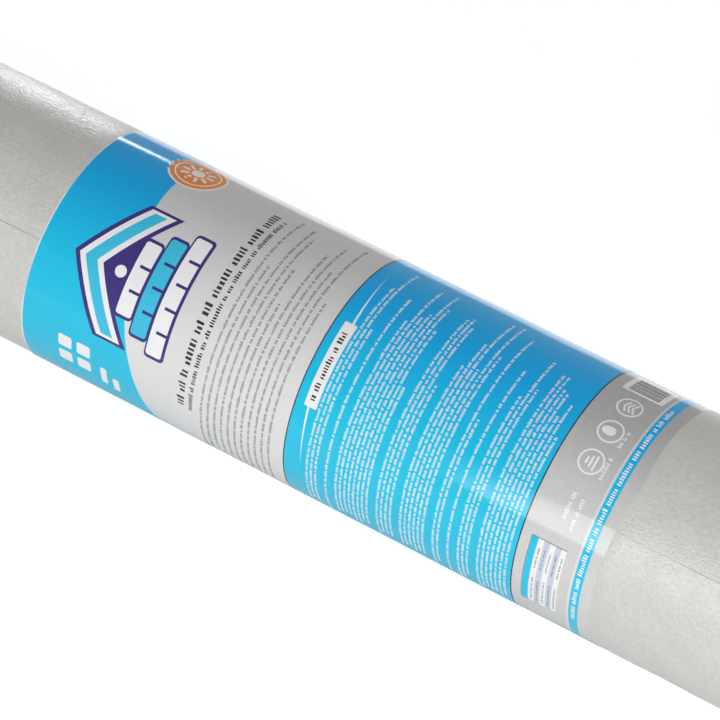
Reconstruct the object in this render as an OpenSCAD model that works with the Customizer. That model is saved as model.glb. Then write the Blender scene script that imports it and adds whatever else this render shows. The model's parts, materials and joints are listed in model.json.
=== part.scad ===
// Roll of roofing underlayment felt, lying on the floor with its axis along X.
// The sheet is wound into one turned solid with a bore, and a printed film
// wrapper is wound round its middle. Origin: on the floor, under the middle.

/* [Wound sheet] */
// Width of the sheet, which is the length of the roll
sheet_width = 1219.2; // [600:0.1:1600]
// Length of the sheet that is wound up
sheet_length = 76200; // [20000:100:120000]
// Thickness of one turn of the sheet
sheet_thickness = 0.2; // [0.1:0.01:0.6]
// Diameter of the bore, a three inch spindle
bore_d = 76.2; // [40:0.1:110]
// Direction of the sheet's free edge round the roll, from +Y towards +Z
lap_angle = 132; // [95:1:175]

/* [Ends of the roll] */
// Bands of turns that stand out from each other on an end
end_bands = 13; // [6:1:24]
// Deepest set back of a band of turns from the end
end_set_back = 1.2; // [0.2:0.1:4]

/* [Film wrapper] */
// Width of the film along the roll
wrapper_width = 419; // [150:1:590]
// Offset of the film's middle from the roll's middle
wrapper_offset = 0; // [-5:1:5]
// Thickness of the film
film_thickness = 0.3; // [0.2:0.05:0.8]
// Gap between the sheet and the film
film_gap = 0.05; // [0.02:0.01:0.3]

/* [Hidden] */
$fn = 180;
bore_r = bore_d / 2;
// The wound section holds the sheet's whole edge: length times thickness
roll_r = sqrt(pow(bore_r, 2) + sheet_length * sheet_thickness / PI);
band_width = (roll_r - bore_r) / end_bands;
film_in_r = roll_r + film_gap;
film_out_r = film_in_r + film_thickness;
// Room past a cut, so that no two faces of a cut lie on each other
cut_room = 5;
// Angle from one band's set back to the next, which keeps neighbours unlike
band_turn = 137.5;
// Least set back of an inner band, as a share of the deepest
least_share = 0.15;
// Where the spread of set backs starts on the near end and on the far end
near_start = 20;
far_start = 75;

// Set back of one band of turns: none at the bore and at the rim, where the
// end is struck flush, and an uneven spread between them
function set_back(band, start) =
    band == 0 || band == end_bands - 1 ? 0
    : end_set_back * (least_share + (1 - least_share) * abs(sin(start + band_turn * band)));

// The stepped outline of one end, from the bore to the rim, as [radius, length]
function end_outline(start) = [
    for (band = [0 : end_bands - 1], side = [0, 1])
        [bore_r + (band + side) * band_width, sheet_width / 2 - set_back(band, start)]
];

// The same outline for the other end, from the rim back to the bore
function mirrored_outline(start) = let (outline = end_outline(start)) [
    for (i = [len(outline) - 1 : -1 : 0]) [outline[i][0], -outline[i][1]]
];

// Lays a solid turned about Z along X, with its underside on the floor
module laid_down() {
    translate([0, 0, film_out_r]) rotate([90, 0, 90]) children();
}

// The outline of the last turn: two half rounds that differ by one thickness
// at the sheet's free edge and run into each other on the far side
module last_turn() {
    rotate(lap_angle) {
        intersection() {
            circle(r = roll_r);
            translate([-2 * roll_r, 0]) square([4 * roll_r, 2 * roll_r]);
        }
        translate([-sheet_thickness / 2, 0]) intersection() {
            circle(r = roll_r - sheet_thickness / 2);
            translate([-2 * roll_r, -2 * roll_r]) square([4 * roll_r, 2 * roll_r]);
        }
    }
}

module underlayment_roll() {
    color("silver") laid_down() intersection() {
        rotate_extrude() polygon(concat(end_outline(near_start), mirrored_outline(far_start)));
        linear_extrude(height = sheet_width + 2 * cut_room, center = true) last_turn();
    }
}

module printed_wrapper() {
    color("deepskyblue") laid_down() translate([0, 0, wrapper_offset - wrapper_width / 2]) {
        difference() {
            cylinder(r = film_out_r, h = wrapper_width);
            translate([0, 0, -cut_room]) cylinder(r = film_in_r, h = wrapper_width + 2 * cut_room);
        }
    }
}

underlayment_roll();
printed_wrapper();
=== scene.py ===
import json
import math
import random

import bmesh
import bpy
import numpy as np
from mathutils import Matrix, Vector


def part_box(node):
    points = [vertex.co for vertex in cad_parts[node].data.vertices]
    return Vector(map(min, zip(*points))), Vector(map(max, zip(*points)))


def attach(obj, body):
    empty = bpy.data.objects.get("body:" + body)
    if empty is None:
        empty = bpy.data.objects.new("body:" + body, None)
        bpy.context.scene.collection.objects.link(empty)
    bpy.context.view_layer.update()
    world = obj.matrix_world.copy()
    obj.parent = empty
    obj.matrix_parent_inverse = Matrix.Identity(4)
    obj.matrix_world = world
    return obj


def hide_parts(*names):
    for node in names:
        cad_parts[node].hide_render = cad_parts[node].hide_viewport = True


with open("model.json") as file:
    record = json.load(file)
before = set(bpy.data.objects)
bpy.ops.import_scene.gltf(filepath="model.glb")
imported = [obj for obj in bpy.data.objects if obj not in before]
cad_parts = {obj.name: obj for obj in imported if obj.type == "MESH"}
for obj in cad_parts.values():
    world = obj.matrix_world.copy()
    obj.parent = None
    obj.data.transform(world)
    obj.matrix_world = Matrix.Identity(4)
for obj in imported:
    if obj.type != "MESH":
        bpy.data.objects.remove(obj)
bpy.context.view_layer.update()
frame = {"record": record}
scene = bpy.context.scene
mm = 0.001

# Sizes that come with the frame, in millimetres. Angles are in degrees round the
# roll: 0 is the back, 90 the top, 180 the front.
rollLow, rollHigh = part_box("underlayment_roll")
filmLow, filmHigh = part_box("printed_wrapper")
spindle = next(mount for mount in frame["record"]["mounts"] if mount["name"] == "spindle_bore")
axisHeight = spindle["pos_m"][2] / mm
boreRadius = spindle["dims"]["r_mm"]
halfLength = rollHigh.x / mm
sheetRadius = -rollLow.y / mm
filmRadius = filmHigh.y / mm
filmLeft, filmRight = filmLow.x / mm, filmHigh.x / mm
degreesPerMm = math.degrees(1 / filmRadius)
print(f"frame: roll {2 * halfLength:.1f} mm long, {2 * filmRadius:.1f} mm across the film")


paceSpread = (0.6, 1.4)    # times the pace of a layer of waves
heightSpread = (0.5, 1)    # times its height
edgeRoom = 0.3             # share of a step that the even columns keep off an edge


def waveField(seed, layers):
    # a few sine waves of each size, which close on themselves round the roll
    draw = random.Random(seed)
    waves = []
    for layer in layers:
        for _ in range(layer["count"]):
            pace = draw.choice((-1, 1)) * draw.uniform(*paceSpread) * 2 * math.pi / layer["length"]
            turns = draw.randint(-layer["turns"], layer["turns"])
            start = draw.uniform(0, 2 * math.pi)
            waves.append((pace, turns, start, layer["height"] * draw.uniform(*heightSpread)))

    def height(x, angle):
        around = np.radians(angle)
        swings = [size * np.sin(pace * x + turns * around + start) for pace, turns, start, size in waves]
        return sum(swings)

    return height


def smooth(low, high, value):
    t = np.clip((value - low) / (high - low), 0, 1)
    return t * t * (3 - 2 * t)


def roundAngles(count, edges):
    # even steps round the roll, with extra columns where an edge needs them
    step = 360 / count
    room = edgeRoom * step
    even = [k * step for k in range(count) if all(abs(k * step - edge) > room for edge in edges)]
    return np.array(sorted(even + list(edges)))


def onRoll(x, radius, angle):
    # points in metres, from millimetres along the roll and off its axis
    around = np.radians(angle)
    points = [x, radius * np.cos(around), axisHeight + radius * np.sin(around)]
    return np.stack(points, axis=-1) * mm


def ringMesh(name, x, radius, angles, seamAngle):
    # rows follow the outline of the section and close on the first, columns run round the roll
    rows, columns = radius.shape
    i, j = np.meshgrid(np.arange(rows), np.arange(columns), indexing="ij")
    nextRow, nextColumn = (i + 1) % rows, (j + 1) % columns
    corners = [i * columns + j, i * columns + nextColumn,
               nextRow * columns + nextColumn, nextRow * columns + j]
    faces = np.stack(corners, axis=-1).reshape(-1, 4)
    mesh = bpy.data.meshes.new(name)
    points = onRoll(x, radius, angles).reshape(-1, 3)
    mesh.from_pydata(points.tolist(), [], faces.tolist())
    # the map lays the sheet out flat, in metres: along the outline, then round the roll from a seam
    stepX = np.diff(np.append(x, x[:1], axis=0), axis=0)
    stepR = np.diff(np.append(radius, radius[:1], axis=0), axis=0)
    along = np.append(0, np.cumsum(np.hypot(stepX, stepR).mean(axis=1)))
    arc = np.radians(np.mod(angles - seamAngle, 360)) * sheetRadius
    arcEnd = arc + np.radians(np.mod(np.roll(angles, -1) - angles, 360)) * sheetRadius
    u = np.stack([along[i], along[i], along[i + 1], along[i + 1]], axis=-1)
    v = np.stack([arc[j], arcEnd[j], arcEnd[j], arc[j]], axis=-1)
    layer = mesh.uv_layers.new(name="sheetMap")
    layer.uv.foreach_set("vector", (np.stack([u, v], axis=-1) * mm).astype(np.float32).ravel())
    return mesh


def placePiece(name, mesh, sharpAngle):
    mesh.shade_smooth()
    mesh.set_sharp_from_angle(angle=math.radians(sharpAngle))
    piece = bpy.data.objects.new(name, mesh)
    scene.collection.objects.link(piece)
    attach(piece, "root")
    print(f"{name}: {sum(len(face.vertices) - 2 for face in mesh.polygons)} triangles")
    return piece


# Shader groups

def newGroup(name, inputs, outputs):
    group = bpy.data.node_groups.new(name, "ShaderNodeTree")
    for label, kind, value in inputs:
        socket = group.interface.new_socket(name=label, in_out="INPUT", socket_type=kind)
        if value is not None:
            socket.default_value = value
    for label, kind in outputs:
        group.interface.new_socket(name=label, in_out="OUTPUT", socket_type=kind)
    return group, group.nodes.new("NodeGroupInput"), group.nodes.new("NodeGroupOutput")


def feed(tree, node, values):
    # a socket takes what another one puts out, or a value of its own
    for socket, value in values.items():
        if isinstance(value, bpy.types.NodeSocket):
            tree.links.new(value, node.inputs[socket])
        else:
            node.inputs[socket].default_value = value


def addNode(tree, kind, values=None, **settings):
    node = tree.nodes.new(kind)
    for key, value in settings.items():
        setattr(node, key, value)
    feed(tree, node, values or {})
    return node


def mathNode(tree, operation, *values):
    return addNode(tree, "ShaderNodeMath", dict(enumerate(values)), operation=operation).outputs[0]


def splitPlace(tree, place):
    return addNode(tree, "ShaderNodeSeparateXYZ", {0: place}).outputs


def scalePlace(tree, place, factors):
    return addNode(tree, "ShaderNodeVectorMath", {0: place, 1: factors}, operation="MULTIPLY").outputs[0]


def objectPlace(tree):
    return addNode(tree, "ShaderNodeTexCoord").outputs["Object"]


def sheetPlace(tree):
    return addNode(tree, "ShaderNodeUVMap", uv_map="sheetMap").outputs[0]


def weigh(tree, first, second, share):
    # a mean of two values, with a share of the second
    return mathNode(tree, "ADD", mathNode(tree, "MULTIPLY", first, 1 - share),
                    mathNode(tree, "MULTIPLY", second, share))


def spanValue(tree, mask, low, high, start=0.0, end=1.0):
    values = {"Value": mask, "From Min": start, "From Max": end, "To Min": low, "To Max": high}
    return addNode(tree, "ShaderNodeMapRange", values).outputs[0]


noiseRoughness = 0.55      # how strong the finer steps of a noise are


def stretchedNoise(tree, vector, scaleX, scaleY, detail):
    factors = addNode(tree, "ShaderNodeCombineXYZ", {"X": scaleX, "Y": scaleY, "Z": 1}).outputs[0]
    noise = addNode(tree, "ShaderNodeTexNoise", {
        "Vector": scalePlace(tree, vector, factors),
        "Scale": 1,
        "Detail": detail,
        "Roughness": noiseRoughness,
    })
    return noise.outputs["Fac"]


fibreMat = {
    "stretch": 0.3,            # pace along a fibre, as a share of that across it
    "detail": 2,
    "cloudDetail": 3,
    "weave": 0.5,              # share of the fibres that run round the roll
    "cloudShare": 0.2,
    "contrast": (0.38, 0.62),  # values that turn into 0 and 1
}


def makeFibreGroup():
    # matted fibres that run both ways, with clouds of denser and thinner sheet
    tree, given, result = newGroup(
        "fibreMat",
        [("Vector", "NodeSocketVector", None), ("Fibres per m", "NodeSocketFloat", 900.0),
         ("Clouds per m", "NodeSocketFloat", 40.0)],
        [("Mask", "NodeSocketFloat"), ("Height", "NodeSocketFloat")])
    vector, fibres, clouds = (given.outputs[k] for k in ("Vector", "Fibres per m", "Clouds per m"))
    slow = mathNode(tree, "MULTIPLY", fibres, fibreMat["stretch"])
    alongX = stretchedNoise(tree, vector, slow, fibres, fibreMat["detail"])
    alongY = stretchedNoise(tree, vector, fibres, slow, fibreMat["detail"])
    cloud = stretchedNoise(tree, vector, clouds, clouds, fibreMat["cloudDetail"])
    weave = weigh(tree, alongX, alongY, fibreMat["weave"])
    cloudy = weigh(tree, weave, cloud, fibreMat["cloudShare"])
    mask = spanValue(tree, cloudy, 0, 1, *fibreMat["contrast"])
    feed(tree, result, {"Mask": mask, "Height": weave})
    return tree


filmRipple = {
    "swellDetail": 1,
    "crinkleDetail": 2,
    "crinkleShare": 0.24,
}


def makeRippleGroup():
    # slack in a thin film: long swells with a little crinkle on them
    tree, given, result = newGroup(
        "filmRipple",
        [("Vector", "NodeSocketVector", None), ("Swells per m", "NodeSocketFloat", 24.0),
         ("Crinkles per m", "NodeSocketFloat", 130.0)],
        [("Mask", "NodeSocketFloat"), ("Height", "NodeSocketFloat")])
    vector, swells, crinkles = (given.outputs[k] for k in ("Vector", "Swells per m", "Crinkles per m"))
    swell = stretchedNoise(tree, vector, swells, swells, filmRipple["swellDetail"])
    crinkle = stretchedNoise(tree, vector, crinkles, crinkles, filmRipple["crinkleDetail"])
    height = weigh(tree, swell, crinkle, filmRipple["crinkleShare"])
    feed(tree, result, {"Mask": crinkle, "Height": height})
    return tree


# painted shade on the top of the roll turns into painted light low on its front between these two places
fadeFrom, fadeTo = 0.01, -0.07   # m across the roll, from its top to low on its front


def makePaintedLightGroup():
    # 0 on the top of the roll, 1 low on its front: the mask that turns painted shade on the top into
    # painted light on the front
    tree, given, result = newGroup(
        "frontFade",
        [("Vector", "NodeSocketVector", None), ("Start Y", "NodeSocketFloat", fadeFrom),
         ("End Y", "NodeSocketFloat", fadeTo)],
        [("Mask", "NodeSocketFloat")])
    vector, start, end = (given.outputs[k] for k in ("Vector", "Start Y", "End Y"))
    values = {"Value": splitPlace(tree, vector)["Y"], "From Min": start, "From Max": end}
    fade = addNode(tree, "ShaderNodeMapRange", values, interpolation_type="SMOOTHSTEP")
    feed(tree, result, {"Mask": fade.outputs[0]})
    return tree


fibreGroup = makeFibreGroup()
rippleGroup = makeRippleGroup()
paintedLightGroup = makePaintedLightGroup()
print("shader groups: fibre, ripple, fade")


def newMaterial(name):
    material = bpy.data.materials.new(name)
    material.use_nodes = True
    tree = material.node_tree
    return material, tree, tree.nodes["Principled BSDF"]


def placeGroup(tree, group, vector, values=None):
    return addNode(tree, "ShaderNodeGroup", {"Vector": vector, **(values or {})}, node_tree=group)


def placeFibres(tree, vector, sheet):
    values = {"Fibres per m": sheet["fibresPerM"], "Clouds per m": sheet["cloudsPerM"]}
    return placeGroup(tree, fibreGroup, vector, values)


def blendColours(tree, mask, low, high):
    first, second = ((*colour, 1) if isinstance(colour, tuple) else colour for colour in (low, high))
    mix = addNode(tree, "ShaderNodeMix", {"Factor": mask, "A": first, "B": second}, data_type="RGBA")
    return mix.outputs["Result"]


def paintedShadeToLight(tree, mask, shades, paintedLitShades):
    # painted light: two darker shades on the top of the roll stand for shade and turn into two lighter
    # ones on its front, which stand for light
    fade = placeGroup(tree, paintedLightGroup, objectPlace(tree))
    top, front = (blendColours(tree, mask, *pair) for pair in (shades, paintedLitShades))
    return blendColours(tree, fade.outputs["Mask"], top, front)


def makeBump(tree, height, distance, strength=1.0):
    values = {"Height": height, "Distance": distance, "Strength": strength}
    return addNode(tree, "ShaderNodeBump", values).outputs[0]


# Felt sheet, wound into the roll

felt = {
    "columns": 200,
    "lapAngle": 132,           # the sheet's free edge
    "lapColumns": (-0.9, -0.05, 0, 1, 2.2, 3.8, 5.8, 8.2),   # degrees from that edge
    "lapLift": 0.24,           # mm that the free edge stands off the turn below
    "lapReach": 11,            # mm round the roll over which it lies down again
    "turn": 0.2,               # mm, one thickness of the sheet
    "slack": 0.6,              # mm that the bare last turn stands out on top, and none underneath
    "underFilm": 0.35,         # mm that the film presses the sheet in
    "pressFrom": 1,            # mm in from the film's edge, where that starts
    "pressFull": 5,
    "pressRows": 4,
    "barePitch": 5.2,          # mm between rows of the bare sheet
    "hiddenPitch": 30,         # mm between rows under the film
    "boreRows": 7,
    "boreLip": 0.6,            # mm, the round edge at the bore
    "bands": 13,               # bands of turns that stand out from each other on an end
    "turnsPerBand": 3,
    "turnFace": (0.12, 0.78),  # shares of one turn, where its flat edge starts and ends
    "groovePlace": 0.95,       # and where the groove after it is deepest
    "groove": 0.45,            # mm
    "setBack": 1.2,            # mm, the deepest band
    "leastSetBack": 0.15,      # share of that
    "bandTurn": 137.5,         # keeps the depths of neighbours unlike
    "turnDepth": 0.12,         # mm either way, of each turn
    "turnSway": 0.1,           # mm along one turn
    "swayKinds": 3,            # up to so many waves in one turn
    "waveSeed": 11,
    "lapSeed": 2859,
    "sharpAngle": 50,
    "crinklesPerM": (230, 470),  # along the roll and round it
    "crinkle": {"Detail": 1, "Distortion": 1.2},
    "emboss": 0.37,            # mm, height of the crinkle
    "embossFibres": 0.2,       # height of the fibres, as a share of that
    "fibresPerM": 1000,
    "cloudsPerM": 55,
    "roughness": (0.35, 0.28),
    "gloss": 0.85,
    "sheen": 0.32,
    "sheenRoughness": 0.35,
    "shades": ((0.58, 0.575, 0.545), (0.71, 0.705, 0.675)),
    "edgeShades": ((0.33, 0.325, 0.31), (0.70, 0.695, 0.67)),
    "edgeRoughness": (0.8, 0.65),
    "edgeFibres": 0.3,         # share of the fibres in the shades of the ends
    "rings": {"Scale": 420, "Detail": 3},   # lighter and darker turns on an end, per m
    "ringContrast": (0.33, 0.66),
    "gapsPerTurn": 2,          # fine gaps for each modelled turn
    "gapWidth": (0.02, 0.16),  # shares of a turn, from the middle of a gap to full sheet
    # painted shade: how dark the colour is in the fine gaps
    "gapShade": 0.35,
    "gapDepth": 0.2,           # mm, bump of the fine gaps
    "gapStrength": 0.6,
}
felt["endTurns"] = felt["bands"] * felt["turnsPerBand"]
nearEnd = {"side": 1, "seed": 21, "start": 20}
farEnd = {"side": -1, "seed": 22, "start": 75}
feltWaves = waveField(felt["waveSeed"], [
    {"count": 5, "length": 260, "turns": 3, "height": 0.09},
    {"count": 9, "length": 60, "turns": 8, "height": 0.03},
])
lapWaves = waveField(felt["lapSeed"], [{"count": 6, "length": 80, "turns": 0, "height": 0.5}])


def underFilm(x):
    start, full = felt["pressFrom"], felt["pressFull"]
    left = smooth(filmLeft + start, filmLeft + full, x)
    right = smooth(filmRight - full, filmRight - start, x)
    return left * (1 - right)


def feltSurface(x, angle):
    past = np.mod(angle - felt["lapAngle"], 360)
    hidden = underFilm(x)
    lift = felt["lapLift"] * np.maximum(1 + lapWaves(x, 0), 0)
    lift = lift * np.exp(-np.radians(past) * sheetRadius / felt["lapReach"])
    spiral = felt["turn"] * past / 360
    slack = felt["slack"] * (1 + np.sin(np.radians(angle))) / 2
    loose = slack + lift + feltWaves(x, angle)
    return sheetRadius - spiral + loose * (1 - hidden) - felt["underFilm"] * hidden


def endSetBack(share, angle, end):
    # share runs from the bore, 0, to the rim, 1. Each band and each turn has its own depth.
    draw = random.Random(end["seed"])
    turnDepth = [draw.uniform(-1, 1) * felt["turnDepth"] for _ in range(felt["endTurns"])]
    turnStart = [draw.uniform(0, 2 * math.pi) for _ in range(felt["endTurns"])]
    turn = min(int(share * felt["endTurns"]), felt["endTurns"] - 1)
    band = turn // felt["turnsPerBand"]
    spread = abs(math.sin(math.radians(end["start"] + felt["bandTurn"] * band)))
    deep = felt["setBack"] * (felt["leastSetBack"] + (1 - felt["leastSetBack"]) * spread)
    if band in (0, felt["bands"] - 1):
        deep = 0
    waves = 1 + turn % felt["swayKinds"]
    sway = felt["turnSway"] * np.sin(np.radians(angle) * waves + turnStart[turn])
    return np.maximum(deep + turnDepth[turn] + sway, 0)


def makeFeltMesh():
    lap = felt["lapAngle"]
    angles = roundAngles(felt["columns"], [lap + step for step in felt["lapColumns"]])
    bare = np.arange(0, halfLength - filmRight, felt["barePitch"])
    press = np.linspace(felt["pressFrom"], felt["pressFull"], felt["pressRows"])
    inset = 2 * felt["pressFull"]
    hidden = np.arange(filmLeft + inset, filmRight - inset, felt["hiddenPitch"])
    outside = np.concatenate([-halfLength + bare, filmLeft + press, hidden,
                              filmRight - press[::-1], (halfLength - bare)[::-1]])
    bore = boreRadius + felt["turn"] * np.mod(angles - lap, 360) / 360
    rings = []
    for turn in range(felt["endTurns"]):
        rings += [(turn + place, 0) for place in felt["turnFace"]]
        rings.append((turn + felt["groovePlace"], felt["groove"]))
    rings = rings[:-1]   # the rim has no groove after it
    lines, radii, onEnd = [], [], []

    def addLine(x, radius, isEnd):
        lines.append(np.broadcast_to(x, angles.shape))
        radii.append(radius)
        onEnd.append(isEnd)

    def addEnd(end, order):
        rim = feltSurface(end["side"] * halfLength, angles)
        for place, groove in order:
            share = place / felt["endTurns"]
            depth = endSetBack(share, angles, end) + groove
            addLine(end["side"] * (halfLength - depth), bore + (rim - bore) * share, True)

    for x in outside:
        addLine(x, feltSurface(x, angles), False)
    addEnd(nearEnd, rings[::-1])
    boreHalf = halfLength - felt["boreLip"]
    for x in np.linspace(boreHalf, -boreHalf, felt["boreRows"]):
        addLine(x, bore, False)
    addEnd(farEnd, rings)
    mesh = ringMesh("feltRoll", np.array(lines), np.array(radii), angles, lap)
    # the faces on either side of an end's rings are cut edges too
    endRows = np.array(onEnd) | np.roll(onEnd, -1)
    mesh.polygons.foreach_set("material_index", np.repeat(endRows, len(angles)).astype(np.int32))
    return mesh


def makeFeltMaterial():
    material, tree, shader = newMaterial("feltSheet")
    place = sheetPlace(tree)
    fibre = placeFibres(tree, place, felt)
    mask = fibre.outputs["Mask"]
    # embossed crinkle, drawn out along the roll
    stretched = scalePlace(tree, place, (*felt["crinklesPerM"], 1))
    crinkle = addNode(tree, "ShaderNodeTexNoise", {"Vector": stretched, "Scale": 1, **felt["crinkle"]})
    fine = mathNode(tree, "MULTIPLY", fibre.outputs["Height"], felt["embossFibres"])
    height = mathNode(tree, "ADD", fine, crinkle.outputs["Fac"])
    feed(tree, shader, {
        "Base Color": blendColours(tree, mask, *felt["shades"]),
        "Roughness": spanValue(tree, mask, *felt["roughness"]),
        "Normal": makeBump(tree, height, felt["emboss"] * mm),
        "Specular IOR Level": felt["gloss"],
        "Sheen Weight": felt["sheen"],
        "Sheen Roughness": felt["sheenRoughness"],
    })
    return material


def makeEdgeMaterial():
    # cut edges of the turns: rings of lighter and darker sheet, with a fine spiral of gaps that are
    # darkened in the colour, which is painted shade in the gaps
    material, tree, shader = newMaterial("feltTurns")
    place = splitPlace(tree, objectPlace(tree))
    across = place["Y"]
    rise = mathNode(tree, "SUBTRACT", place["Z"], axisHeight * mm)
    squares = [mathNode(tree, "MULTIPLY", side, side) for side in (across, rise)]
    reach = mathNode(tree, "SQRT", mathNode(tree, "ADD", *squares))
    turn = mathNode(tree, "ARCTAN2", across, rise)
    arc = mathNode(tree, "MULTIPLY", turn, boreRadius * mm)
    polar = addNode(tree, "ShaderNodeCombineXYZ", {"X": reach, "Y": arc})
    fibre = placeFibres(tree, polar.outputs[0], felt)
    tone = addNode(tree, "ShaderNodeTexNoise", {"W": reach, **felt["rings"]}, noise_dimensions="1D")
    gapsPerM = felt["endTurns"] * felt["gapsPerTurn"] / ((sheetRadius - boreRadius) * mm)
    spiral = mathNode(tree, "SUBTRACT", mathNode(tree, "MULTIPLY", reach, gapsPerM),
                      mathNode(tree, "DIVIDE", turn, 2 * math.pi))
    gap = spanValue(tree, mathNode(tree, "PINGPONG", spiral, 0.5), 0, 1, *felt["gapWidth"])
    rings = spanValue(tree, tone.outputs["Fac"], 0, 1, *felt["ringContrast"])
    light = weigh(tree, rings, fibre.outputs["Mask"], felt["edgeFibres"])
    # painted shade: the colour is darker in the fine gaps between turns
    light = mathNode(tree, "MULTIPLY", light, spanValue(tree, gap, felt["gapShade"], 1))
    feed(tree, shader, {
        "Base Color": blendColours(tree, light, *felt["edgeShades"]),
        "Roughness": spanValue(tree, light, *felt["edgeRoughness"]),
        "Normal": makeBump(tree, gap, felt["gapDepth"] * mm, felt["gapStrength"]),
    })
    return material


feltMesh = makeFeltMesh()
feltMesh.materials.append(makeFeltMaterial())
feltMesh.materials.append(makeEdgeMaterial())
feltRoll = placePiece("feltRoll", feltMesh, felt["sharpAngle"])
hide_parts("underlayment_roll")


# Clear film wrapper

film = {
    "columns": 200,
    "rowPitch": 4.5,           # mm between rows along the roll
    "thickness": 0.28,         # mm
    "crease": 0.22,            # mm that it rides up over the sheet's free edge
    "creaseUp": 3.5,           # mm to come down on the turn above the edge
    "creaseDown": 9,           # mm to come down on the sheet below the edge
    "creaseColumns": (-2, -1, 0, 1, 2.2),   # degrees from the edge
    "seamAngle": 318,          # middle of the film's own overlap, at the back
    "seamHalf": 14,            # degrees, half of the overlap
    "seamSlope": 0.7,          # degrees either way, over which it steps up
    "seamStep": 0.14,          # mm
    "edgeSway": 0.35,          # mm that the cut edges wander
    "waveSeed": 31,
    "edgeSeed": 32,
    "sharpAngle": 40,
    # painted light: the film is darker on the top of the roll, as if in shade, and lighter on its front,
    # as if lit
    "shades": ((0.46, 0.46, 0.455), (0.51, 0.51, 0.505)),
    "paintedLitShades": ((0.63, 0.63, 0.62), (0.69, 0.69, 0.68)),
    "fibresPerM": 800,         # of the sheet that shows through
    "cloudsPerM": 45,
    "roughness": (0.065, 0.135),
    "gloss": 0.7,              # both faces of the film reflect, so it is more than that of one
    "swellsPerM": 26,
    "crinklesPerM": 150,
    "slack": 0.4,              # mm, height of the swells
    "slackStrength": 0.5,
}
filmWaves = waveField(film["waveSeed"], [
    {"count": 6, "length": 150, "turns": 4, "height": 0.045},
    {"count": 8, "length": 60, "turns": 9, "height": 0.012},
])
filmEdgeWaves = waveField(film["edgeSeed"], [{"count": 4, "length": 400, "turns": 6, "height": 0.5}])


def fromAngle(angle, middle):
    return np.mod(angle - middle + 180, 360) - 180


def filmSurface(x, angle):
    past = np.radians(fromAngle(angle, felt["lapAngle"])) * filmRadius
    reach = np.where(past < 0, film["creaseUp"], film["creaseDown"])
    crease = film["crease"] * np.exp(-(past / reach) ** 2)
    half, slope = film["seamHalf"], film["seamSlope"]
    seam = 1 - smooth(half - slope, half + slope, np.abs(fromAngle(angle, film["seamAngle"])))
    return filmRadius + filmWaves(x, angle) + crease + film["seamStep"] * seam


def filmAngles():
    edges = [felt["lapAngle"] + step for step in film["creaseColumns"]]
    for side in (-1, 1):
        for step in (-film["seamSlope"], 0, film["seamSlope"]):
            edges.append(film["seamAngle"] + side * (film["seamHalf"] + step))
    return roundAngles(film["columns"], edges)


def makeFilmMesh():
    angles = filmAngles()
    stations = np.linspace(0, 1, round((filmRight - filmLeft) / film["rowPitch"]) + 1)
    left = filmLeft + film["edgeSway"] * (0.5 + filmEdgeWaves(filmLeft, angles) / 2)
    right = filmRight - film["edgeSway"] * (0.5 + filmEdgeWaves(filmRight, angles) / 2)
    outer = np.array([left + (right - left) * t for t in stations])
    x = np.concatenate([outer, outer[::-1]])
    radius = filmSurface(x, angles)
    radius[len(outer):] -= film["thickness"]
    return ringMesh("filmSleeve", x, radius, angles, film["seamAngle"] + film["seamHalf"])


def glossyFilm(tree, shader):
    values = {"Swells per m": film["swellsPerM"], "Crinkles per m": film["crinklesPerM"]}
    ripple = placeGroup(tree, rippleGroup, objectPlace(tree), values)
    mask, height = ripple.outputs["Mask"], ripple.outputs["Height"]
    feed(tree, shader, {
        "Roughness": spanValue(tree, mask, *film["roughness"]),
        "Normal": makeBump(tree, height, film["slack"] * mm, film["slackStrength"]),
        "Specular IOR Level": film["gloss"],
    })
    return mask


def makeFilmMaterial():
    material, tree, shader = newMaterial("clearFilm")
    fibre = placeFibres(tree, sheetPlace(tree), film)
    colour = paintedShadeToLight(tree, fibre.outputs["Mask"], film["shades"], film["paintedLitShades"])
    feed(tree, shader, {"Base Color": colour})
    glossyFilm(tree, shader)
    return material


filmMesh = makeFilmMesh()
filmMesh.materials.append(makeFilmMaterial())
filmSleeve = placePiece("filmSleeve", filmMesh, film["sharpAngle"])
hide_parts("printed_wrapper")


# Print on the film. Every mark is a thin closed layer of ink, drawn flat as (x, angle)
# and bent on to the film. Print reads up the roll, towards smaller angles, and its top
# is towards -X.

# two shades of each ink; the pale and blue inks fade to lighter shades on the front, which is painted
# shade on the top and painted light on the front
inks = {
    "paleInk": [((0.665, 0.665, 0.66), (0.71, 0.71, 0.705)), ((0.75, 0.75, 0.745), (0.795, 0.795, 0.79))],
    "blueInk": [((0.005, 0.43, 0.89), (0.006, 0.45, 0.92)), ((0.011, 0.56, 0.82), (0.013, 0.58, 0.84))],
    "skyInk": [((0.05, 0.54, 0.79), (0.06, 0.58, 0.83))],
    "mistInk": [((0.58, 0.65, 0.76), (0.62, 0.69, 0.79))],
    "whiteInk": [((0.90, 0.90, 0.905), (0.95, 0.95, 0.95))],
    "navyInk": [((0.048, 0.034, 0.20), (0.058, 0.042, 0.23))],
    "darkInk": [((0.035, 0.035, 0.037), (0.05, 0.05, 0.052))],
    "greyInk": [((0.2, 0.2, 0.2), (0.25, 0.25, 0.25))],
    "orangeInk": [((0.88, 0.26, 0.035), (0.94, 0.30, 0.04))],
}
inkShapes = {name: {"points": [], "faces": []} for name in inks}
# mm above the film
inkLevels = {"panel": 0.035, "band": 0.055, "mark": 0.08, "over": 0.105, "top": 0.13, "last": 0.155}
inkBottom = 0.015
longestRow = 2.2   # mm round the roll between two rows of an ink layer
longestCross = 5   # mm along the roll between two columns of one
cornerStep = 15    # degrees between two points of a round corner
ringStep = 12
leastReach = 0.02  # mm, half the width of a layer where it ends in a point


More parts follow.
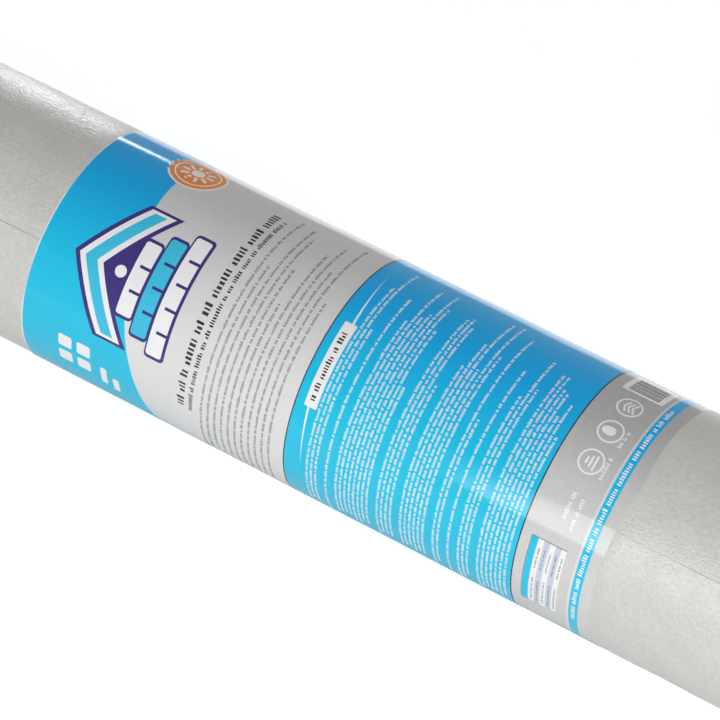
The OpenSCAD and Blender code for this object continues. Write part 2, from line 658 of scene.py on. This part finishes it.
def strip(ink, left, right, level, closed=False):
    # a layer between two edges, each a list of (x, angle)
    points, faces = inkShapes[ink]["points"], inkShapes[ink]["faces"]
    width = max(abs(b[0] - a[0]) for a, b in zip(left, right))
    cross = max(1, math.ceil(width / longestCross))
    first, rows, row = len(points), len(left), cross + 1
    for height in (inkLevels[level], inkBottom):
        for a, b in zip(left, right):
            for k in range(row):
                t = k / cross
                points.append((a[0] + (b[0] - a[0]) * t, a[1] + (b[1] - a[1]) * t, height))
    under = rows * row
    for i in range(rows if closed else rows - 1):
        here, there = first + i * row, first + (i + 1) % rows * row
        for k in range(cross):
            upper = (here + k, there + k, there + k + 1, here + k + 1)
            faces.append(upper)
            faces.append(tuple(under + corner for corner in upper[::-1]))
        faces.append((here, under + here, under + there, there))
        faces.append((here + cross, there + cross, under + there + cross, under + here + cross))
    if not closed:
        last = first + (rows - 1) * row
        for k in range(cross):
            faces.append((first + k, first + k + 1, under + first + k + 1, under + first + k))
            faces.append((last + k + 1, last + k, under + last + k, under + last + k + 1))


def spot(centre, along, reading):
    # a point given in mm from a centre: along the roll, and in the reading direction
    return (centre[0] + along, centre[1] - reading * degreesPerMm)


def evenSteps(low, high, longest=longestRow):
    return np.linspace(low, high, max(1, math.ceil(abs(high - low) / longest)) + 1)


def plate(ink, centre, length, height, corner, level):
    # a box with round corners, length in the reading direction
    ends = max(length / 2 - corner, 0)
    turns = range(0, 90 + cornerStep, cornerStep) if corner else [0]
    arc = [corner * math.sin(math.radians(t)) for t in turns]
    straight = list(evenSteps(-ends, ends)[1:-1])
    steps = [-ends - a for a in arc[::-1]] + straight + [ends + a for a in arc]
    if ends == 0:
        steps = [-a for a in arc[::-1]] + arc[1:]
    left, right = [], []
    for reading in steps:
        past = max(abs(reading) - ends, 0)
        inset = corner - math.sqrt(max(corner ** 2 - past ** 2, 0))
        reach = max(height / 2 - inset, leastReach)
        left.append(spot(centre, -reach, reading))
        right.append(spot(centre, reach, reading))
    strip(ink, left, right, level)


def disc(ink, centre, radius, level):
    plate(ink, centre, 2 * radius, 2 * radius, radius, level)


def ring(ink, centre, inner, outer, level):
    turns = [math.radians(t) for t in range(0, 360, ringStep)]
    edges = [[spot(centre, r * math.cos(t), r * math.sin(t)) for t in turns] for r in (inner, outer)]
    strip(ink, edges[0], edges[1], level, closed=True)


def gable(ink, centre, halfSpan, slope, thickness, level):
    # a roof line with its ridge towards -X
    upright = thickness * math.hypot(1, slope) / 2
    steps = sorted(set(evenSteps(-halfSpan, 0)) | set(evenSteps(0, halfSpan)))
    left = [spot(centre, slope * abs(s) - upright, s) for s in steps]
    right = [spot(centre, slope * abs(s) + upright, s) for s in steps]
    strip(ink, left, right, level)


def taperedLine(ink, start, end, width, level):
    # runs from full width at start to a point at end
    length = abs(end[1] - start[1]) / degreesPerMm
    left, right = [], []
    for t in evenSteps(0, 1, longestRow / length):
        x, angle = start[0] + (end[0] - start[0]) * t, start[1] + (end[1] - start[1]) * t
        half = max(width / 2 * (1 - t), leastReach)
        left.append((x - half, angle))
        right.append((x + half, angle))
    strip(ink, left, right, level)


def band(ink, leftEdge, rightEdge, level):
    # right round the roll, between two edges that may change with the angle
    angles = filmAngles()
    left, right = ([(edge(a), a) for a in angles] for edge in (leftEdge, rightEdge))
    strip(ink, left, right, level, closed=True)


def plainBand(ink, left, right, level):
    band(ink, lambda angle: left, lambda angle: right, level)


# Words without letters. Sizes are shares of the height of the print.
words = {
    "strokes": (2, 9),                      # in one word
    "strokeWidth": (0.26, 0.5),
    "strokeRise": (0.3, 0.5, 0.5, 0.5, 0.72),
    "strokeGap": 0.3,
    "space": 0.7,
    "barLengths": (2, 6),
    "barCorner": 0.3,
    "barGap": 0.6,
}


def smallPrint(ink, x, startAngle, endAngle, height, level, draw):
    # a line of words too small to read: rows of short strokes
    angle = startAngle
    while angle > endAngle:
        for _ in range(draw.randint(*words["strokes"])):
            width = height * draw.uniform(*words["strokeWidth"])
            top, foot = x - height * draw.choice(words["strokeRise"]), x + height / 2
            ends = (angle, angle - width * degreesPerMm)
            strip(ink, [(top, a) for a in ends], [(foot, a) for a in ends], level)
            angle -= (width + height * words["strokeGap"]) * degreesPerMm
            if angle < endAngle:
                break
        angle -= height * words["space"] * degreesPerMm


def wordBars(ink, x, startAngle, endAngle, height, level, draw):
    # one bar with round corners for each word
    room = (startAngle - endAngle) / degreesPerMm
    start = 0
    while room - start > words["barLengths"][0] * height:
        length = min(height * draw.uniform(*words["barLengths"]), room - start)
        place = spot((x, startAngle), 0, start + length / 2)
        plate(ink, place, length, height, height * words["barCorner"], level)
        start += length + height * words["barGap"]


# Bands right round the film, x in mm from the roll's middle
label = {
    "firstBand": (-208, -128),     # blue, its right edge is a wave
    "wave": (26, 165),             # mm, and the angle at which it crosses its middle
    "wideBand": (-10.8, 153.1),    # blue, with a dark line along each edge
    "thinBand": (193.3, 199.5),
    "thinPrint": (186, 66, 2.6),   # from and to which angle, and how high
    "rule": 0.8,                   # mm, the lines along the bands
    "paleRule": 1.7,
    "readFrom": 206,               # angle at which the lines of print start, below the front
    "printHeight": 1.6,
    "seed": 44,
}


def waveEdge(angle):
    swing, crossing = label["wave"]
    return label["firstBand"][1] + swing * math.sin(math.radians(angle - crossing))


def printBands():
    left = label["firstBand"][0]
    wideLeft, wideRight = label["wideBand"]
    thinLeft, thinRight = label["thinBand"]
    rule, pale = label["rule"], label["paleRule"]
    band("paleInk", waveEdge, lambda angle: wideLeft, "panel")
    band("blueInk", lambda angle: left, waveEdge, "band")
    plainBand("whiteInk", left - rule, left, "band")
    plainBand("blueInk", wideLeft, wideRight, "band")
    for edge in (wideLeft, wideRight):
        plainBand("darkInk", edge - rule / 2, edge + rule / 2, "mark")
    plainBand("blueInk", thinLeft, thinRight, "band")
    plainBand("paleInk", thinLeft - pale, thinLeft, "mark")
    start, end, height = label["thinPrint"]
    draw = random.Random(label["seed"])
    smallPrint("whiteInk", (thinLeft + thinRight) / 2, start, end, height, "mark", draw)


# Round seal with a sun, high on the first band. Radii in mm.
seal = {
    "place": (-150, 62),
    "rim": 20,
    "disc": 18.5,
    "ring": (14.6, 15.6),
    "sun": 4.5,
    "rays": 10,
    "ray": (6.2, 11.5),
    "rayHalf": 1.1,
}


def printSeal():
    place = seal["place"]
    disc("whiteInk", place, seal["rim"], "mark")
    disc("orangeInk", place, seal["disc"], "over")
    ring("whiteInk", place, *seal["ring"], "top")
    disc("whiteInk", place, seal["sun"], "top")
    for k in range(seal["rays"]):
        turn = 2 * math.pi * k / seal["rays"]
        edges = []
        for side in (-seal["rayHalf"], seal["rayHalf"]):
            edges.append([spot(place, r * math.cos(turn) - side * math.sin(turn),
                               r * math.sin(turn) + side * math.cos(turn)) for r in seal["ray"]])
        strip("whiteInk", *edges, "top")


# Four panes with two rows of bars, low on the first band
panes = {
    "place": (-168, 179),
    "side": 10,
    "pitch": 14,
    "corner": 1.5,
    "barHeight": 4.6,
    "rows": ((-146, 191, 172), (-137, 193, 177)),   # x, from and to which angle
    "seed": 41,
}


def printPanes():
    for along in (-0.5, 0.5):
        for reading in (-0.5, 0.5):
            place = spot(panes["place"], along * panes["pitch"], reading * panes["pitch"])
            plate("whiteInk", place, panes["side"], panes["side"], panes["corner"], "mark")
    draw = random.Random(panes["seed"])
    for x, start, end in panes["rows"]:
        wordBars("whiteInk", x, start, end, panes["barHeight"], "mark", draw)


# Roof over three courses of shingles
mark = {
    "ridge": -172,
    "angle": 128,
    "halfSpan": 47,
    "slope": 0.62,
    "layers": (("navyInk", 21, "mark"), ("whiteInk", 15, "over"), ("skyInk", 7.5, "top")),
    "layerInset": 2,
    "window": (22, 4),             # mm under the ridge, and radius
    "courses": (("whiteInk", 3), ("skyInk", 4), ("whiteInk", 5)),   # ink and tabs
    "firstCourse": -138,
    "coursePitch": 13.5,
    "tab": 16.5,
    "slot": (2, 7.5),              # width and height
    "outline": 2.2,
    "corner": 3,
}


def printRoofMark():
    angle, slope, edge, pitch = mark["angle"], mark["slope"], mark["outline"], mark["coursePitch"]
    ridge = (mark["ridge"], angle)
    for k, (ink, thickness, level) in enumerate(mark["layers"]):
        gable(ink, ridge, mark["halfSpan"] - k * mark["layerInset"], slope, thickness, level)
    # the gable wall fills in from the roof down to the first course
    wall = mark["firstCourse"] - (pitch + edge) / 2 - mark["ridge"]
    under = mark["layers"][0][1] * math.hypot(1, slope) / 2
    steps = evenSteps(-(wall - under) / slope, 0)
    steps = np.concatenate([steps, -steps[-2::-1]])
    left = [spot(ridge, min(under + slope * abs(s), wall - leastReach), s) for s in steps]
    strip("navyInk", left, [spot(ridge, wall, s) for s in steps], "mark")
    drop, radius = mark["window"]
    disc("whiteInk", spot(ridge, drop, 0), radius, "over")
    last = len(mark["courses"]) - 1
    for row, (ink, tabs) in enumerate(mark["courses"]):
        course = (mark["firstCourse"] + row * pitch, angle)
        length = tabs * mark["tab"]
        more = {0: -edge / 2, last: edge / 2}.get(row, 0)
        middle = spot(course, more / 2, 0)
        plate("navyInk", middle, length + 2 * edge, pitch + abs(more), mark["corner"], "mark")
        plate(ink, course, length, pitch - edge, mark["corner"] - edge / 2, "over")
        width, height = mark["slot"]
        for k in range(1, tabs):
            place = spot(course, (pitch - edge - height) / 2, (k - tabs / 2) * mark["tab"])
            plate("navyInk", place, width, height, 0, "top")


# Heading and lines of print on the pale panel
panel = {
    "heading": (-87, 176, 66, 4.4),   # x, from and to which angle, and how high
    "second": (-80, 177, 68, 2.6),
    "firstLine": -72,
    "linePitch": 5,
    "lineEnds": (60, 96, 62, 70, 92, 110, 75, 66, 84, 58, 100),   # angle at which each line ends
    "startSpread": 8,
    "seed": 42,
}


def printPanel():
    draw = random.Random(panel["seed"])
    smallPrint("darkInk", *panel["heading"], "mark", draw)
    smallPrint("darkInk", *panel["second"], "mark", draw)
    for k, end in enumerate(panel["lineEnds"]):
        start = label["readFrom"] - draw.uniform(0, panel["startSpread"])
        x = panel["firstLine"] + k * panel["linePitch"]
        smallPrint("greyInk", x, start, end, label["printHeight"], "mark", draw)


# Title plate and paragraphs on the wide band
story = {
    "title": (-0.3, 123.5),
    "titleSize": (58, 8.6),
    "titleCorner": 0.6,
    "titleWords": (141, 108, 3),   # from and to which angle, and how high
    "tails": ((1, 103.5, 70), (-1, 143.5, 174)),   # side, from and to which angle
    "tailLean": (1, 2),            # mm, at the plate and at the tip
    "tailWidth": 1.5,
    "firstLine": 6.2,
    "linePitch": 3.2,
    "paragraphGap": 4.2,
    "paragraphs": (3, 1, 8, 4, 6, 2, 1, 3, 7),   # lines in each
    "printHeight": 1.5,
    "lineEnds": (54, 100),
    "lastEnds": (78, 120),         # of a paragraph's last line
    "startSpread": 6,
    "indent": 4,
    "seed": 43,
}


def printWideBand():
    draw = random.Random(story["seed"])
    x, angle = story["title"]
    plate("whiteInk", (x, angle), *story["titleSize"], story["titleCorner"], "mark")
    start, end, height = story["titleWords"]
    smallPrint("darkInk", x, start, end, height, "over", draw)
    near, far = story["tailLean"]
    for side, start, end in story["tails"]:
        foot, tip = (x + side * near, start), (x - side * far, end)
        taperedLine("whiteInk", foot, tip, story["tailWidth"], "mark")
    x = story["firstLine"]
    for paragraph in story["paragraphs"]:
        for line in range(paragraph):
            isLast = paragraph > 1 and line == paragraph - 1
            end = draw.uniform(*story["lastEnds" if isLast else "lineEnds"])
            indent = story["indent"] if line else 0
            start = label["readFrom"] - draw.uniform(0, story["startSpread"]) - indent
            smallPrint("whiteInk", x, start, end, story["printHeight"], "mark", draw)
            x += story["linePitch"]
        x += story["paragraphGap"]


# Patch of plain bars, right of the wide band
barPatch = {
    "place": (175, 56),
    "side": 28,
    "corner": 1,
    "run": (-11.5, 9),
    "bars": (0.7, 1.1, 1.8),
    "gaps": (0.7, 1.0, 1.5),
    "barLength": 21,
    "seed": 45,
}


def printBarPatch():
    draw = random.Random(barPatch["seed"])
    plate("whiteInk", barPatch["place"], barPatch["side"], barPatch["side"], barPatch["corner"], "mark")
    reading, end = barPatch["run"]
    while reading < end:
        width = draw.choice(barPatch["bars"])
        place = spot(barPatch["place"], 0, reading + width / 2)
        plate("darkInk", place, width, barPatch["barLength"], 0, "over")
        reading += width + draw.choice(barPatch["gaps"])


# Three rings with a roof, a drop and laid sheets
icons = {
    "x": 174.5,
    "ring": (7.2, 8.4),
    "roofAngle": 77,
    "roofRows": (-3.6, -0.8, 2.0),
    "roofSpan": 4.6,
    "roofSlope": 0.5,
    "roofLine": 1.3,
    "dropAngle": 93.5,
    "drop": 3.4,
    "dropTip": 1.7,                # how much longer its tip is
    "dropSteps": 13,
    "sheetAngle": 110,
    "sheets": ((-2.8, 5), (0, 7.5), (2.8, 10)),
    "sheetLine": 1.4,
    "caption": (184.6, 5.5, -5, 2.2),   # x, from and to which angle, and how high
    "lines": ((175, 137, 125), (181.5, 141, 126)),
    "lineHeight": 2.4,
    "seed": 46,
}


def printIcons():
    draw = random.Random(icons["seed"])
    roof, drop, sheets = ((icons["x"], icons[k]) for k in ("roofAngle", "dropAngle", "sheetAngle"))
    for centre in (roof, drop, sheets):
        ring("whiteInk", centre, *icons["ring"], "mark")
    roofSize = (icons["roofSpan"], icons["roofSlope"], icons["roofLine"])
    for row in icons["roofRows"]:
        gable("whiteInk", spot(roof, row, 0), *roofSize, "mark")
    left, right = [], []
    for s in np.linspace(-1, 1, icons["dropSteps"]):
        reach = max(icons["drop"] * math.sqrt(1 - s * s), leastReach)
        left.append(spot(drop, -icons["dropTip"] * reach, icons["drop"] * s))
        right.append(spot(drop, reach, icons["drop"] * s))
    strip("whiteInk", left, right, "mark")
    line = icons["sheetLine"]
    for row, length in icons["sheets"]:
        plate("whiteInk", spot(sheets, row, 0), length, line, line / 2, "mark")
    x, before, after, height = icons["caption"]
    for centre in (drop, sheets):
        smallPrint("whiteInk", x, centre[1] + before, centre[1] + after, height, "mark", draw)
    for x, start, end in icons["lines"]:
        smallPrint("whiteInk", x, start, end, icons["lineHeight"], "mark", draw)


# Small table, low on the right
table = {
    "place": (172.5, 169.5),
    "size": (53.5, 23.5),
    "frame": 0.5,
    "head": (-9.6, 4.3),           # mm from the middle, and how high
    "rows": 5,
    "firstRow": -5.2,
    "rowPitch": 3.9,
    "rowHeight": 3.6,
    "columns": ((17, 2), (-4, -15)),   # from and to which angle, off the middle
    "printHeight": 1.1,
    "seed": 47,
}


def printTable():
    draw = random.Random(table["seed"])
    place, (length, height), edge = table["place"], table["size"], table["frame"]
    plate("greyInk", place, length + 2 * edge, height + 2 * edge, 0, "mark")
    plate("paleInk", place, length, height, 0, "over")
    headAt, headHeight = table["head"]
    plate("blueInk", spot(place, headAt, 0), length, headHeight, 0, "top")
    for k in range(table["rows"]):
        row = spot(place, table["firstRow"] + k * table["rowPitch"], 0)
        plate(("whiteInk", "mistInk")[k % 2], row, length, table["rowHeight"], 0, "top")
        x, angle = row
        for start, end in table["columns"]:
            smallPrint("greyInk", x, angle + start, angle + end, table["printHeight"], "last", draw)


def makeInkMaterial(name):
    material, tree, shader = newMaterial(name)
    mask = glossyFilm(tree, shader)
    shades = inks[name]
    if len(shades) == 1:
        colour = blendColours(tree, mask, *shades[0])
    else:
        # painted shade on the top of the roll and painted light on its front
        colour = paintedShadeToLight(tree, mask, *shades)
    feed(tree, shader, {"Base Color": colour})
    return material


def makeInkPieces():
    for name, shapes in inkShapes.items():
        x, angle, height = np.array(shapes["points"]).T
        points = onRoll(x, filmSurface(x, angle) + height, angle)
        mesh = bpy.data.meshes.new(name)
        mesh.from_pydata(points.tolist(), [], shapes["faces"])
        work = bmesh.new()
        work.from_mesh(mesh)
        bmesh.ops.recalc_face_normals(work, faces=work.faces)
        work.to_mesh(mesh)
        work.free()
        mesh.materials.append(makeInkMaterial(name))
        placePiece(name, mesh, film["sharpAngle"])


printBands()
printSeal()
printPanes()
printRoofMark()
printPanel()
printWideBand()
printBarPatch()
printIcons()
printTable()
makeInkPieces()


# Stage: a pale table top, soft light from the front, and a dim grey room

stage = {
    "edges": (-1.3, 1.3, -1.1, 0.36),   # m, left, right, front and back of the table top
    "colour": (0.72, 0.72, 0.72),
    "roughness": 0.8,
    "gloss": 0.1,
    "glow": 0.7,                   # what the eye sees on top of the lit colour
    "mirrorGlow": (0.0, 0.87),     # what reflections see, before the roll and behind it
    "mirrorTurn": (-0.05, 0.1),    # m, where the one turns into the other
    "roomLow": (0.40, 0.40, 0.405),
    "roomHigh": (0.15, 0.15, 0.155),
    "roomRise": (-0.1, 0.7),
    "floorLine": -0.35,            # slope below which reflections see a white floor, and no dim room
}

# Lamps in metres: where each hangs, what it faces, width and height, and how bright its face is
lamps = {
    "frontSoftbox": ((0.54, -1.5, 0.92), (0.54, 0, 0.92), (1.46, 0.92), 4.25),
    "frontFade": ((-0.265, -1.5, 0.92), (-0.265, 0, 0.92), (0.15, 0.92), 2.8),
    "frontFadeEnd": ((-0.35, -1.5, 0.92), (-0.35, 0, 0.92), (0.02, 0.92), 1.5),
    "sideSoftbox": ((1.6, -0.5, 1.5), (0, 0, 0.1), (1.2, 1.2), 1.9),
    "leftSoftbox": ((-1.6, -0.9, 0.7), (0, 0, 0.1), (1.0, 1.0), 3.0),
    "rimLight": ((-0.63, 0.8, 0.03), (-0.63, 0, 0.03), (0.11, 0.22), 9.5),
    "rimFade": ((-1.085, 0.8, 0.03), (-1.085, 0, 0.03), (0.8, 0.22), 1.9),
    "backFill": ((0.9, 1.3, 0.7), (0, 0, 0.1), (0.8, 0.8), 3.5),
    "backStrip": ((-1.397, 1.5, 0.23), (-1.397, 0, 0.23), (1.2, 0.12), 7.0),
    "endSoftbox": ((1.9, 0, 0.4), (0.6, 0, 0.08), (0.8, 0.8), 2.0),
}


def seenByEye(tree, path):
    return mathNode(tree, "MAXIMUM", path.outputs["Is Camera Ray"], path.outputs["Is Transmission Ray"])


def makeTable():
    mesh = bpy.data.meshes.new("tableTop")
    left, right, front, back = stage["edges"]
    corners = [(left, front, 0), (right, front, 0), (right, back, 0), (left, back, 0)]
    mesh.from_pydata(corners, [], [(0, 1, 2, 3)])
    top = bpy.data.objects.new("tableTop", mesh)
    scene.collection.objects.link(top)
    material, tree, shader = newMaterial("tablePaper")
    across = splitPlace(tree, objectPlace(tree))["Y"]
    mirror = spanValue(tree, across, *stage["mirrorGlow"], *stage["mirrorTurn"])
    path = addNode(tree, "ShaderNodeLightPath")
    eye = mathNode(tree, "MULTIPLY", seenByEye(tree, path), stage["glow"])
    mirror = mathNode(tree, "MULTIPLY", path.outputs["Is Glossy Ray"], mirror)
    feed(tree, shader, {
        "Base Color": (*stage["colour"], 1),
        "Roughness": stage["roughness"],
        "Specular IOR Level": stage["gloss"],
        "Emission Color": (1, 1, 1, 1),
        "Emission Strength": mathNode(tree, "MAXIMUM", eye, mirror),
    })
    mesh.materials.append(material)


def makeRoom():
    world = bpy.data.worlds.new("studioRoom")
    scene.world = world
    world.use_nodes = True
    tree = world.node_tree
    height = splitPlace(tree, addNode(tree, "ShaderNodeTexCoord").outputs["Generated"])["Z"]
    rise = spanValue(tree, height, 0, 1, *stage["roomRise"])
    room = blendColours(tree, rise, stage["roomLow"], stage["roomHigh"])
    path = addNode(tree, "ShaderNodeLightPath")
    floor = mathNode(tree, "LESS_THAN", height, stage["floorLine"])
    mirror = mathNode(tree, "MULTIPLY", path.outputs["Is Glossy Ray"], floor)
    seen = mathNode(tree, "MAXIMUM", mirror, seenByEye(tree, path))
    feed(tree, tree.nodes["Background"], {"Color": blendColours(tree, seen, room, (1, 1, 1))})


def addLamp(name, centre, target, size, brightness):
    lamp = bpy.data.lights.new(name, "AREA")
    lamp.shape = "RECTANGLE"
    lamp.size, lamp.size_y = size
    lamp.energy = brightness * math.pi * lamp.size * lamp.size_y
    box = bpy.data.objects.new(name, lamp)
    scene.collection.objects.link(box)
    box.location = centre
    box.rotation_euler = (Vector(target) - Vector(centre)).to_track_quat("-Z", "Y").to_euler()
    box.visible_camera = False


makeTable()
makeRoom()
for name, values in lamps.items():
    addLamp(name, *values)


# Camera, as far and as high as it was held, looking down along the roll

view = {
    "place": (0.8116, -1.2819, 2.0356),   # m
    "yaw": 32.516,                        # degrees
    "pitch": 51.860,
    "lens": 197.65,                       # mm
    "sensor": 36,
    "farthest": 50,                       # m
}


def makeCamera():
    data = bpy.data.cameras.new("photoCamera")
    data.lens = view["lens"]
    data.sensor_width = view["sensor"]
    data.clip_end = view["farthest"]
    camera = bpy.data.objects.new("photoCamera", data)
    scene.collection.objects.link(camera)
    camera.location = view["place"]
    camera.rotation_euler = (math.radians(90 - view["pitch"]), 0, math.radians(view["yaw"]))
    scene.camera = camera


makeCamera()
scene.view_settings.view_transform = "Standard"
print("stage, light and camera are set")
